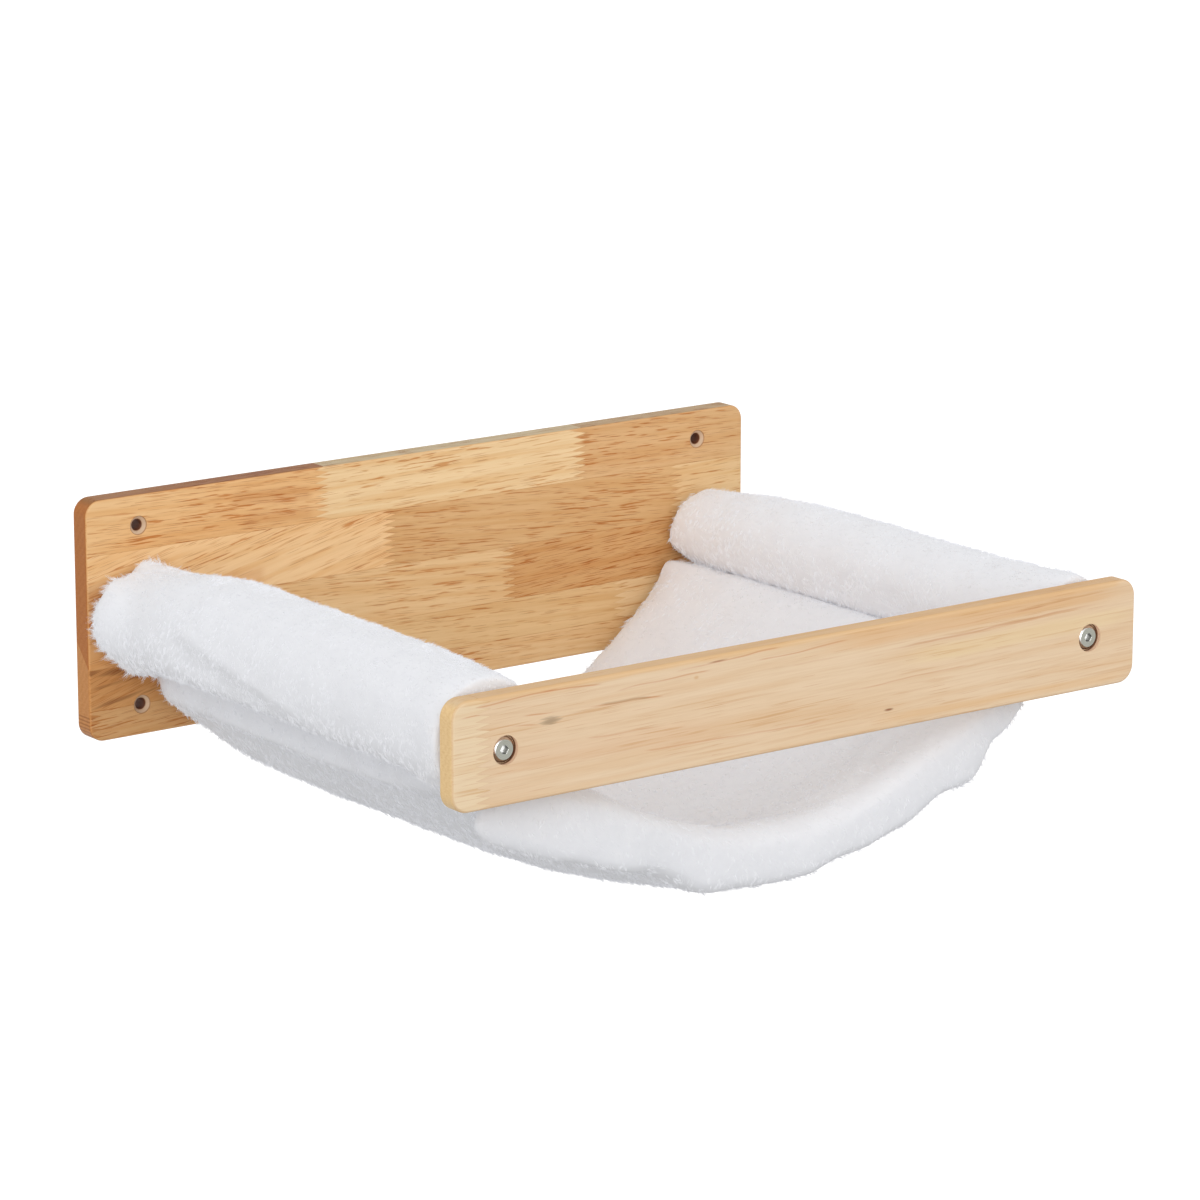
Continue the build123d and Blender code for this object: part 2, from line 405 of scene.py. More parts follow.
BOARD_PLAN = {
    "glue_lines": (41 * MM, 5 * MM, -30 * MM, -55.5 * MM),
    "joints": (
        (-80 * MM, 118 * MM),
        (-30 * MM, 196 * MM),
        (-150 * MM, 62 * MM),
        (-95 * MM, 150 * MM),
        (-247 * MM, 24 * MM),
    ),
    "staves": (
        stave((237, 195, 142), slant=-1.5, flecks=0.80, warmth=0.9),
        stave((240, 209, 162), slant=1.0, flecks=0.30, warmth=0.3),
        stave((224, 182, 132), slant=-2.0, flecks=0.45, warmth=0.5),
        stave((243, 204, 153), slant=13.0, flecks=0.70, warmth=0.9),
        stave((222, 180, 128), slant=-4.0, flecks=0.50, warmth=0.6),
        stave((234, 199, 150), slant=2.0, flecks=0.30, warmth=0.4),
        stave((222, 168, 111), slant=9.0, flecks=0.80, warmth=1.0),
        stave((233, 196, 146), slant=-3.0, flecks=0.35, warmth=0.5),
        stave((220, 174, 120), slant=3.0, flecks=0.60, warmth=0.7),
        stave((210, 155, 98), slant=17.0, flecks=0.85, warmth=1.0),
        stave((228, 190, 138), slant=-2.0, flecks=0.40, warmth=0.6),
        stave((235, 202, 155), slant=1.5, flecks=0.25, warmth=0.3),
        stave((201, 145, 90), slant=2.0, flecks=0.60, warmth=0.8),
        stave((216, 170, 118), slant=4.0, flecks=0.60, warmth=0.7),
        stave((230, 192, 142), slant=-1.0, flecks=0.35, warmth=0.4),
    ),
    "heart_lines": (
        heart_line((-150, 63), (-84, 60), 7.0, 0.35, (196, 134, 80), broken=False),
        heart_line((-140, 50), (-84, 47), 6.0, 0.30, (196, 134, 80), broken=False),
        heart_line((-200, 7), (-120, 12), 9.0, 0.35, (206, 140, 84), broken=False),
        heart_line((-268, 10), (-190, 24), 14.0, 0.50, (186, 124, 72), broken=False, fade=12),
        heart_line((-256, -54), (-200, -47), 1.8, 0.60, (132, 80, 44)),
        heart_line((-258, -31), (-216, -34), 3.0, 0.60, (126, 76, 42)),
        heart_line((-250, -42), (-206, -37), 1.4, 0.50, (140, 86, 48)),
    ),
    "marks": (),
    "fleck_length": 19 * MM,
    "fleck_tint": (0.52, 0.27, 0.14),
    "hair_run": 22 * MM,
    "hair_pitch": 1.3 * MM,
    "hairs": 0.85,
    "hair_tint": (0.74, 0.50, 0.32),
    "streaks": 1.0,
    "face_y": BOARD_FACE_Y,
    "end_tones": ((180, 112, 54), (200, 139, 81)),
    "end_break": -30 * MM,
    "rings": 0.25,
    "teeth_below": -58 * MM,
    "edge_tints": ((0.38, 0.235, 0.10), (0.64, 0.70, 0.76)),
    "eased": 0.35,
    "arris_highlight_tone": (214, 152, 92),
    "bores": (
        {
            "x": 213 * MM, "z": 56 * MM, "radius": 6.4 * MM, "face_y": BOARD_FACE_Y,
            "wall_tone": (212, 182, 152), "pale_depth": 2.6 * MM, "sunk_shade_tone": (150, 98, 64),
            "rim": 5.7 * MM, "rim_tone": (178, 132, 90),
            "deep_radius": 3.62 * MM, "deep_shade_tone": (122, 74, 48),
        },
        {
            "x": ROD_X, "z": 0.0, "radius": 9.0 * MM, "face_y": WALL_FACE_Y,
            "wall_tone": (206, 160, 110), "pale_depth": 1.4 * MM, "sunk_shade_tone": (160, 112, 74),
        },
    ),
}

RAIL_PLAN = {
    "glue_lines": (),
    "joints": ((-229 * MM, AWAY),),
    "staves": (
        stave((243, 220, 186), slant=1.0, flecks=0.05, warmth=0.2),
        stave((239, 212, 179), slant=0.8, flecks=0.12, warmth=0.45),
        stave((238, 211, 179)),
    ),
    "heart_lines": (
        heart_line((-246, 31), (240, 31), 3.2, 0.35, (232, 184, 116), broken=False),
        heart_line((-10, 25), (256, 27), 8.0, 0.45, (228, 176, 118), broken=False, fade=60),
        heart_line((60, 8), (262, 11), 7.0, 0.40, (244, 220, 172), broken=False, fade=40),
        heart_line((40, -25), (256, -27), 3.5, 0.35, (230, 182, 122), broken=False, fade=40),
        heart_line((-246, -6), (-40, -12), 9.0, 0.25, (232, 190, 154), broken=False, fade=60),
        heart_line((-246, 22), (-205, 24.5), 0.6, 0.50),
        heart_line((-236, 27), (-176, 30), 0.6, 0.50),
        heart_line((-192, 30), (-146, 27.5), 0.6, 0.50),
        heart_line((-204, 17.5), (-104, 14), 0.6, 0.60),
        heart_line((-152, 16.2), (-112, 14.2), 1.1, 0.50, (176, 140, 100)),
        heart_line((-224, 14.5), (-190, 11), 0.6, 0.50),
        heart_line((-98, 26.5), (-20, 30), 0.6, 0.50),
        heart_line((-140, 22), (-70, 24), 0.6, 0.45),
        heart_line((-76, 27.8), (-58, 28.8), 0.8, 0.80, (168, 104, 70)),
        heart_line((-40, 24), (30, 26), 0.6, 0.45),
        heart_line((-14, 18), (66, 15.8), 0.6, 0.50),
        heart_line((56, 15.4), (226, 20.5), 0.8, 0.42, (200, 130, 84), broken=False, fade=36),
        heart_line((70, 22), (180, 25), 0.6, 0.35),
        heart_line((-160, -2), (-60, -5), 0.7, 0.35),
        heart_line((-120, -16), (10, -19), 0.7, 0.35),
        heart_line((20, -4), (120, -2), 0.6, 0.35),
        heart_line((96, -30), (136, -31), 0.9, 0.60, (214, 148, 78)),
    ),
    "marks": (
        mark(-183, 12, 8.0, 3.0, 0.62, (146, 122, 96), ragged=3.6),
        mark(59, -20, 4.6, 1.1, 0.90, (150, 92, 58), ragged=0.6),
        mark(-82, 21, 2.6, 1.6, 0.45, (214, 160, 96), ragged=0.6),
    ),
    "fleck_length": 24 * MM,
    "fleck_tint": (0.83, 0.66, 0.53),
    "hair_run": 60 * MM,
    "hair_pitch": 1.7 * MM,
    "hairs": 0.50,
    "hair_tint": (0.86, 0.72, 0.58),
    "streaks": 0.6,
    "face_y": RAIL_FACE_Y,
    "end_tones": ((240, 206, 152), (240, 206, 152)),
    "end_break": -AWAY,
    "rings": 0.08,
    "teeth_below": -AWAY,
    "edge_tints": ((0.84, 0.78, 0.69), (0.84, 0.78, 0.69)),
    "eased": 0.5,
    "arris_highlight_tone": (218, 176, 126),
    "bores": (
        {
            "x": ROD_X, "z": 0.0, "radius": 9.0 * MM, "face_y": RAIL_FACE_Y,
            "wall_tone": (238, 200, 168), "pale_depth": 2.8 * MM, "sunk_shade_tone": (142, 100, 74),
        },
    ),
}


def rod_wood():
    """Plain turned rod with straight grain along its length."""
    r = Recipe("rod_wood")
    x, y, z = r.place()
    fibre = r.cloud(r.join(x * 700, y * 22, z * 700), detail=4.0, roughness=0.6)
    drift = r.cloud(r.join(x * 60, y * 5, z * 60))
    colour = r.blend(drift.rise(0.3, 0.7) * 0.6, srgb(230, 198, 150), srgb(216, 172, 116))
    colour = r.tint(fibre.rise(0.4, 0.8) * 0.4, colour, (0.84, 0.74, 0.60))
    return r.finish(
        Base_Color=colour,
        Roughness=fibre * 0.2 + 0.45,
        Normal=r.relief(fibre, 0.1 * MM, 0.5),
    )


# Metal

HEAD_FACE_RADIUS = 5.8 * MM
SOCKET_RADIUS = 3.0 * MM
SOCKET_START = 0.3 * MM
RING_PITCH = 0.9 * MM
HEAD_SUNK = 1.2 * MM

RING_DULL = (0.70, 0.72, 0.69)
GRIME = (0.72, 0.70, 0.64)
BEVEL_UNDERSIDE_SHADE = (0.40, 0.35, 0.30)
SOCKET_WALL_SHADE = (0.10, 0.10, 0.09)

NICKEL = {"face_tone": (0.385, 0.385, 0.34), "painted_highlight_tone": (0.92, 0.92, 0.91), "roughness": 0.10}
ZINC = {"face_tone": (0.56, 0.50, 0.36), "painted_highlight_tone": (0.66, 0.60, 0.44), "roughness": 0.28}


def plated_steel(name, face_tone, painted_highlight_tone, roughness, face_y=0.0):
    """Plated steel: a turned face with rings round the bolt's axis, a smoother bevel whose brighter colour
    is a painted highlight, and a hex socket with a painted highlight on its floor and painted shade on its
    walls. The bevel's lower side is darkened with painted shade."""
    r = Recipe(name)
    x, y, z = r.place()
    _, facing_y, facing_z = r.place("Normal")
    radius = r.length(x.size() - ROD_X, 0.0, z)
    rings = r.calc("SINE", radius * (2 * math.pi / RING_PITCH)) * 0.5 + 0.5
    scratch = r.cloud(r.join(x * 500, y * 500, z * 3000), detail=3.0)
    grime = r.cloud(r.join(x * 160, y * 160, z * 160), detail=3.0)
    flat = facing_y.size().rise(0.95, 0.99)
    in_socket = radius.below(SOCKET_RADIUS) * (y - face_y).size().above(SOCKET_START)
    on_bevel = radius.above(HEAD_FACE_RADIUS) * (1.0 - flat)
    # Bevels take the brighter tone, a painted highlight; flat faces keep the face tone.
    colour = r.blend(flat, painted_highlight_tone, face_tone)
    colour = r.tint(rings * flat * (1.0 - in_socket) * 0.6, colour, RING_DULL)
    colour = r.tint(grime.rise(0.45, 0.75) * 0.35, colour, GRIME)
    # Painted shade: the bevel's downward-facing side is darkened.
    colour = r.tint(on_bevel * facing_z.fall(-0.22, 0.02) * 0.9, colour, BEVEL_UNDERSIDE_SHADE)
    # Painted highlight on the socket's floor and painted shade on its walls.
    colour = r.blend(in_socket * flat, colour, painted_highlight_tone)
    colour = r.blend(in_socket * (1.0 - flat), colour, SOCKET_WALL_SHADE)
    return r.finish(
        Base_Color=colour,
        Metallic=1.0,
        Roughness=grime * 0.15 + flat * 0.15 + roughness,
        Normal=r.relief(rings * flat * 0.5 + scratch * 0.3, 0.03 * MM, 0.7),
    )


# Plush materials

PLUSH_TONE = srgb(240, 241, 245)
PLUSH_SHADE = srgb(233, 234, 239)
PLUSH_TIP = srgb(242, 243, 247)
PLUSH_ROOT = srgb(237, 238, 242)
STRAND_TINT = (0.94, 0.94, 0.955)


def plush_backing():
    """The pile seen as a surface: soft clumps a few millimetres across over fine fibre."""
    r = Recipe("plush_backing")
    x, y, z = r.place()
    clumps = r.cloud(r.join(x * 150, y * 110, z * 150), detail=3.0, roughness=0.6)
    fibre = r.cloud(r.join(x * 1500, y * 700, z * 1500))
    colour = r.blend(clumps.rise(0.30, 0.75) * 0.45, PLUSH_TONE, PLUSH_SHADE)
    return r.finish(
        Base_Color=colour,
        Roughness=fibre * 0.1 + 0.88,
        Normal=r.relief(clumps * 0.7 + fibre * 0.3, 0.4 * MM, 0.28),
        Specular_IOR_Level=0.1,
        Sheen_Weight=0.25,
        Sheen_Roughness=0.6,
    )


def plush_fibre():
    """One fibre of the pile, from its root at the map's foot to its tip at the top."""
    r = Recipe("plush_fibre")
    strand, height, _ = r.split(r.step("ShaderNodeUVMap", {}, uv_map="OFBake"))
    colour = r.blend(height.rise(0.0, 0.8), PLUSH_ROOT, PLUSH_TIP)
    colour = r.tint(strand * 0.2, colour, STRAND_TINT)
    return r.finish(
        Base_Color=colour,
        Roughness=0.9 - height * 0.1,
        Specular_IOR_Level=0.1,
        Sheen_Weight=0.2,
        Sheen_Roughness=0.6,
    )


# Shaping the plush

VOXEL = 4.5 * MM
WELD_GAP = 0.02 * MM
SLIMMING = 4.5 * MM
PUFF_FRAMES = 12
PUFF_CAP = 2.5 * MM
PUFF_SETTINGS = {
    "quality": 4,
    "mass": 0.3,
    "tension_stiffness": 12,
    "compression_stiffness": 12,
    "shear_stiffness": 4,
    "bending_stiffness": 0.3,
    "use_pressure": True,
    "uniform_pressure_force": 4,
    "shrink_min": -0.02,
}

# Blots a metre, and heights in millimetres.
SLACK_WAVES = 38
SOFT_CLUMPS = np.array((110, 80, 110))
FINE_CLUMPS = np.array((330, 240, 330))
SLACK_HEIGHT, SOFT_HEIGHT, FINE_HEIGHT = 0.9, 0.26, 0.07


def coordinates(mesh):
    flat = np.empty(len(mesh.vertices) * 3, np.float32)
    mesh.vertices.foreach_get("co", flat)
    return flat.reshape(-1, 3).astype(float)


def normals(mesh):
    flat = np.empty(len(mesh.vertices) * 3, np.float32)
    mesh.vertex_normals.foreach_get("vector", flat)
    return flat.reshape(-1, 3).astype(float)


def place_points(mesh, points):
    mesh.vertices.foreach_set("co", points.astype(np.float32).ravel())
    mesh.update()


def settle(piece):
    """Takes what the modifiers make as the piece's own mesh."""
    graph = bpy.context.evaluated_depsgraph_get()
    made = bpy.data.meshes.new_from_object(piece.evaluated_get(graph), depsgraph=graph)
    piece.modifiers.clear()
    blank = piece.data
    piece.data = made
    bpy.data.meshes.remove(blank)


def plush_blank(node, name):
    """An evenly meshed copy of a soft CAD solid, a little slimmer, as the puffing starts from."""
    piece = bpy.data.objects.new(name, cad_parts[node].data.copy())
    scene.collection.objects.link(piece)
    weld = piece.modifiers.new("Weld", "WELD")
    weld.merge_threshold = WELD_GAP
    remesh = piece.modifiers.new("Even", "REMESH")
    remesh.mode = "VOXEL"
    remesh.voxel_size = VOXEL
    smooth = piece.modifiers.new("Smooth", "SMOOTH")
    smooth.factor = 0.5
    smooth.iterations = 4
    settle(piece)
    place_points(piece.data, coordinates(piece.data) - normals(piece.data) * SLIMMING)
    return piece


def puff(piece):
    """Fills the piece out as cloth under pressure, each point held within a cap."""
    start = coordinates(piece.data)
    cloth = piece.modifiers.new("Puff", "CLOTH").settings
    for name, value in PUFF_SETTINGS.items():
        setattr(cloth, name, value)
    cloth.effector_weights.gravity = 0
    for number in range(1, PUFF_FRAMES + 1):
        scene.frame_set(number)
    graph = bpy.context.evaluated_depsgraph_get()
    moved = piece.evaluated_get(graph).to_mesh()
    travel = coordinates(moved) - start
    piece.evaluated_get(graph).to_mesh_clear()
    piece.modifiers.clear()
    scene.frame_set(1)
    length = np.linalg.norm(travel, axis=1, keepdims=True)
    travel *= np.minimum(1, PUFF_CAP / np.maximum(length, 1e-9))
    place_points(piece.data, start + travel)


def subdivide(piece):
    divide = piece.modifiers.new("Finer", "SUBSURF")
    divide.levels = 1
    divide.render_levels = 1
    settle(piece)


def fold(start, end, reach, push):
    return {
        "start": np.array(start, float), "end": np.array(end, float),
        "reach": reach, "push": np.array(push),
    }


def lump(place, reach, push):
    return fold(place, place, reach, push)


# Where the plush lies fuller, slacker or creased, in millimetres.
FOLDS = {
    "left_sleeve": (
        fold((-232, -330, -32), (-232, -80, -32), 16, (2, 0, 5.5)),
        fold((-253, -120, 17), (-253, -235, -6), 5, (-1.4, 0, 0.3)),
        fold((-252, -115, 4), (-252, -205, -14), 9, (1.8, 0, 0)),
        lump((-226, -24, 31), 4, (0.5, 0, -6)),
        lump((-216, -24, 35), 6, (-1, 0, 3)),
        lump((-236, -26, 26), 6, (-1.5, 0, 2)),
        lump((-210, -28, 34), 12, (0, 0, 2)),
        lump((-222, -28, -32), 15, (-2, 0, -3.5)),
        fold((-246, -28, 20), (-250, -28, -8), 16, (-7.5, 0, 0)),
        fold((-200, -382, -24), (-200, -20, -24), 13, (2.5, 0, -3.5)),
        fold((-198, -380, -22), (-198, -364, -22), 9, (0.8, 0, -2)),
    ),
    "right_sleeve": (
        lump((222, -382, 31), 17, (0, -2, 4.5)),
        fold((214, -340, 36), (220, -384, 34), 14, (0, 0, 3.5)),
        fold((214, -60, 34), (214, -350, 34), 14, (0, 0, 1.8)),
        fold((238, -330, 10), (238, -120, 12), 10, (1.5, 0, 0)),
        fold((200, -382, -24), (200, -20, -24), 13, (-2.5, 0, -3.5)),
        fold((196, -380, -20), (196, -358, -20), 9, (-2, 0, -2)),
    ),
    "sling_panel": (
        fold((-207, -330, -48), (-207, -40, -50), 13, (-8, 0, -3)),
        fold((-165, -24, -85), (-150, -110, -95), 35, (-3, 0, -4)),
        lump((-190, -22, -60), 14, (-3, 0, -3)),
        lump((-80, -300, -128), 55, (0, 0, 3.5)),
        lump((-188, -376, -44), 20, (-13, -3, -23)),
        lump((-184, -374, -34), 12, (-23, 0, 4)),
        lump((-173, -376, -46), 13, (-6, 0, -4)),
        lump((-160, -376, -62), 25, (-5, -3, -16)),
        lump((-160, -376, -56), 12, (-2, 0, -4)),
        lump((-140, -378, -70), 12, (0, 0, -2)),
        lump((-126, -376, -84), 26, (-3, -3, -9)),
        lump((-60, -374, -112), 22, (0, 0, -4.0)),
        fold((-50, -378, -116), (70, -378, -110), 26, (0, 0, -3)),
        lump((42, -378, -114), 18, (0, 0, 2.6)),
        lump((72, -378, -108), 10, (0, 0, 1.0)),
        lump((95, -378, -98), 14, (2.5, 0, -2.5)),
        lump((124, -378, -94), 9, (-0.8, 0, 2.2)),
        lump((140, -378, -74), 32, (6, 0, -7)),
        lump((141, -378, -80), 13, (6.5, 0, -6)),
        lump((156, -378, -60), 8, (-2.4, 0, 1.6)),
        lump((172, -376, -46), 22, (5.5, 0, -2)),
        fold((-204, -380, -24), (-204, -20, -24), 13, (-2.0, 0, 3.0)),
        fold((204, -380, -24), (204, -20, -24), 13, (2.0, 0, 3.0)),
        fold((-191, -380, -20), (-193, -364, -22), 8, (-1.8, 0, 3.4)),
        fold((190, -381, -21), (194, -358, -23), 9, (3, 0, 3)),
    ),
}


def nudge(piece, moves):
    """Pushes the plush by the given moves, each most along its stretch and fading round it."""
    points = coordinates(piece.data) / MM
    push = np.zeros_like(points)
    for move in moves:
        run = move["end"] - move["start"]
        share = np.clip((points - move["start"]) @ run / max(run @ run, 1e-9), 0, 1)
        gap = np.linalg.norm(points - move["start"] - share[:, None] * run, axis=1) / move["reach"]
        push += np.exp(-(gap ** 2))[:, None] * move["push"]
    place_points(piece.data, (points + push) * MM)


def ruffle(piece, seed):
    """Raises the pile's soft clumps, and slacker waves of the backing under them."""
    points = coordinates(piece.data)
    shift = Vector((seed * 3.1, seed * 1.7, seed * 2.3))
    rise = np.array([
        SLACK_HEIGHT * noise.noise(Vector(p) * SLACK_WAVES + shift)
        + SOFT_HEIGHT * noise.noise(Vector(p * SOFT_CLUMPS) + shift)
        + FINE_HEIGHT * noise.noise(Vector(p * FINE_CLUMPS) - shift)
        for p in points
    ])
    place_points(piece.data, points + normals(piece.data) * (rise * MM)[:, None])


# The pile

FIBRE_ROOT = 0.4 * MM
FIBRE_SIDES = 3
FIBRE_STRAY = 0.12  # of its tuft's length
SHORT_TUFT = {
    "fibres": 4, "spread": 0.9 * MM, "length": 2.9 * MM, "width": 0.16 * MM, "lean": 0.4, "seed": 4,
}
LONG_TUFT = {
    "fibres": 6, "spread": 1.3 * MM, "length": 7.0 * MM, "width": 0.14 * MM, "lean": 0.8, "seed": 9,
}
SWIRL_SEED = 5
SWIRLS_A_METRE = 45
SWIRL_SHIFT = 5.3
PILE_FLOW = (0, -0.5, -0.5)
PILE_LIFT = math.radians(26)
PILE_SWIRL = 0.8
SHAG_LIFT = math.radians(34)
SHAG_SWIRL = 0.9
SHAG_SWIRL_SEED = 8
SLEEVE_CROWD = 120000.0
PANEL_CROWD = 62000.0

SLEEVE_SPLIT = -205 * MM
HEM_START = -352 * MM
NOTCH = np.array((-223, -22, 32)) * MM
NOTCH_REACH = 7 * MM


def tuft_of_fibres(name, fibres, spread, length, width, lean, seed):
    """A few closed, three-sided needles that lean together, with a map from root to tip."""
    rng = np.random.default_rng(seed)
    points, faces, heights = [], [], []
    for _ in range(fibres):
        root = np.array([*(rng.uniform(-1, 1, 2) * spread), -FIBRE_ROOT])
        tall = length * rng.uniform(0.7, 1.1)
        stray = np.array([*rng.normal(0, FIBRE_STRAY, 2), 0]) * length
        tip = np.array([*(root[:2] * (1 - lean)), tall]) + stray
        turn = rng.uniform(0, math.tau)
        first = len(points)
        for corner in range(FIBRE_SIDES):
            angle = turn + corner * math.tau / FIBRE_SIDES
            points.append(root + np.array([math.cos(angle), math.sin(angle), 0]) * width)
            faces.append((first + corner, first + (corner + 1) % FIBRE_SIDES, first + FIBRE_SIDES))
        points.append(tip)
        heights += [0.0, 0.0, 0.0, 1.0]
        faces.append((first + 2, first + 1, first))
    mesh = bpy.data.meshes.new(name)
    mesh.from_pydata([tuple(p) for p in points], [], faces)
    sheet_map = mesh.uv_layers.new(name="OFBake")
    for loop in mesh.loops:
        sheet_map.data[loop.index].uv = (0.5, heights[loop.vertex_index])
    tuft = bpy.data.objects.new(name, mesh)
    scene.collection.objects.link(tuft)
    tuft.hide_render = True
    return tuft


def pile_tree(material):
    """Sows tufts over a backing: thick where its 'pile' says, leaning the way its 'lay' says."""
    tree = bpy.data.node_groups.new("brushed_pile", "GeometryNodeTree")
    tree.is_modifier = True
    tree.interface.new_socket("Geometry", in_out="OUTPUT", socket_type="NodeSocketGeometry")
    for label, kind in (
        ("Geometry", "Geometry"),
        ("Tuft", "Object"),
        ("Tufts per square metre", "Float"),
        ("Scatter", "Float"),
        ("Shortest", "Float"),
        ("Longest", "Float"),
        ("Seed", "Int"),
    ):
        tree.interface.new_socket(label, in_out="INPUT", socket_type="NodeSocket" + kind)

    def step(kind, inputs, output=0, **settings):
        return add_node(tree, kind, inputs, **settings).outputs[output]

    def stored(name, kind):
        return step("GeometryNodeInputNamedAttribute", {"Name": name}, "Attribute", data_type=kind)

    def store(geometry, name, value, kind, domain):
        inputs = {"Name": name, "Geometry": geometry, "Value": value}
        return step("GeometryNodeStoreNamedAttribute", inputs, data_type=kind, domain=domain)

    given = add_node(tree, "NodeGroupInput", {}).outputs
    crowd = {0: stored("pile", "FLOAT"), 1: given["Tufts per square metre"]}
    density = step("ShaderNodeMath", crowd, operation="MULTIPLY")
    sown = {"Mesh": given["Geometry"], "Density": density, "Seed": given["Seed"]}
    sow = add_node(tree, "GeometryNodeDistributePointsOnFaces", sown, distribute_method="RANDOM").outputs

    anywhere = {0: (-1, -1, -1), 1: (1, 1, 1), "Seed": given["Seed"]}
    stray = step("FunctionNodeRandomValue", anywhere, data_type="FLOAT_VECTOR")
    stray = step("ShaderNodeVectorMath", {0: stray, "Scale": given["Scatter"]}, operation="SCALE")
    lay = stored("lay", "FLOAT_VECTOR")
    lean = step("ShaderNodeVectorMath", {0: lay, 1: stray}, operation="ADD")
    aim = step("FunctionNodeAlignRotationToVector", {"Vector": lean}, axis="Z")
    sizes = {2: given["Shortest"], 3: given["Longest"], "Seed": given["Seed"]}
    grown = step("FunctionNodeRandomValue", sizes, 1, data_type="FLOAT")
    tuft = step("GeometryNodeObjectInfo", {"Object": given["Tuft"]}, "Geometry")

    roots = store(sow["Points"], "facing", sow["Normal"], "FLOAT_VECTOR", "POINT")
    planted = {"Points": roots, "Instance": tuft, "Rotation": aim, "Scale": grown}
    tufts = step("GeometryNodeInstanceOnPoints", planted)
    strand = step("FunctionNodeRandomValue", {}, 1, data_type="FLOAT")
    tufts = store(tufts, "strand", strand, "FLOAT", "INSTANCE")
    fibres = step("GeometryNodeRealizeInstances", {0: tufts})

    # The map's width tells the tufts apart, and its height runs from root to tip.
    height = step("ShaderNodeSeparateXYZ", {0: stored("OFBake", "FLOAT_VECTOR")}, 1)
    place = step("ShaderNodeCombineXYZ", {0: stored("strand", "FLOAT"), 1: height})
    fibres = store(fibres, "OFBake", place, "FLOAT2", "CORNER")

    # Fibres are shaded as the backing under them is.
    softened = {"Mesh": fibres, "Custom Normal": stored("facing", "FLOAT_VECTOR")}
    fibres = step("GeometryNodeSetMeshNormal", softened, mode="FREE", domain="POINT")
    fibres = step("GeometryNodeSetMaterial", {"Geometry": fibres, "Material": material})
    add_node(tree, "NodeGroupOutput", {"Geometry": fibres})
    return tree


def pile_sizes(crowd, scatter, shortest, longest, seed):
    """The tree's sizes, with tufts sown to the square metre and scaled between two shares."""
    return {
        "Tufts per square metre": crowd,
        "Scatter": scatter,
        "Shortest": shortest,
        "Longest": longest,
        "Seed": seed,
    }


def brush(backing, name, tree, tuft, wanted, lay, sizes):
    """Grows the pile of one region as a piece of its own. wanted and lay are a value a point."""
    piece = bpy.data.objects.new(name, backing.data.copy())
    scene.collection.objects.link(piece)
    attribute = piece.data.attributes.new("pile", "FLOAT", "POINT")
    attribute.data.foreach_set("value", wanted.astype(np.float32))
    attribute = piece.data.attributes.new("lay", "FLOAT_VECTOR", "POINT")
    attribute.data.foreach_set("vector", lay.astype(np.float32).ravel())
    sow = piece.modifiers.new("Pile", "NODES")
    sow.node_group = tree
    given = {"Tuft": tuft, **sizes}
    for socket in tree.interface.items_tree:
        if socket.name in given and socket.in_out == "INPUT":
            sow[socket.identifier] = given[socket.name]
    settle(piece)
    for title in ("strand", "pile", "lay", "facing"):
        if piece.data.attributes.get(title):
            piece.data.attributes.remove(piece.data.attributes[title])

    # Real fibres pass light on. These are opaque, and would darken the plush with their shadows.
    piece.visible_shadow = False
    piece.visible_diffuse = False
    return piece


def combed(mesh, flow, lift, swirl, seed):
    """Which way the pile lies: along flow over the surface, lifted off it, with slow swirls."""
    points, outward = coordinates(mesh), normals(mesh)
    shift = Vector((seed * SWIRL_SHIFT, 0, 0))
    turns = np.array([noise.noise_vector(Vector(p) * SWIRLS_A_METRE + shift) for p in points])
    way = np.array(flow, float) + turns * swirl
    way -= (way * outward).sum(1)[:, None] * outward
    way /= np.maximum(np.linalg.norm(way, axis=1, keepdims=True), 1e-6)
    return way * math.cos(lift) + outward * math.sin(lift)


def sleeve_shag(points):
    """The left sleeve's back end is shaggy, thinning out forwards, but for its foot and a notch."""
    share = np.clip((points[:, 1] + 60 * MM) / (35 * MM), 0, 1) * (points[:, 2] > -45 * MM)
    share *= 1 - np.exp(-(np.linalg.norm(points - NOTCH, axis=1) / NOTCH_REACH) ** 2)
    return share


def panel_shag(points):
    """The panel's left back corner is shaggy too."""
    return np.clip((points[:, 1] + 50 * MM) / (30 * MM), 0, 1) * (points[:, 0] < -150 * MM)


FRINGES = {
    "left_sleeve": (
        sleeve_shag, (-0.2, 0.7, -0.4),
        pile_sizes(60000.0, scatter=0.5, shortest=0.5, longest=1.1, seed=12),
    ),
    "sling_panel": (
        panel_shag, (-0.5, 0.6, -0.5),
        pile_sizes(45000.0, scatter=0.5, shortest=0.4, longest=0.9, seed=14),
    ),
}


def pile_regions(node, points, outward):
    """The parts of a plush piece whose pile is a piece of its own, by name."""
    if node == "sling_panel":
        hem = points[:, 1] < HEM_START
        upper = (outward[:, 2] > 0) & ~hem
        return {"_pile_front": hem, "_pile_upper": upper, "_pile_under": ~hem & ~upper}
    near = points[:, 1] < SLEEVE_SPLIT
    return {"_pile_front": near, "_pile_back": ~near}


def plush_piece(node, backing, seed):
    """Puffs, folds and ruffles the plush that stands for a soft CAD solid."""
    piece = plush_blank(node, node + "_plush")
    puff(piece)
    subdivide(piece)
    nudge(piece, FOLDS[node])
    ruffle(piece, seed)
    piece.data.materials.clear()
    piece.data.materials.append(backing)
    piece.data.polygons.foreach_set("use_smooth", [True] * len(piece.data.polygons))
    return piece


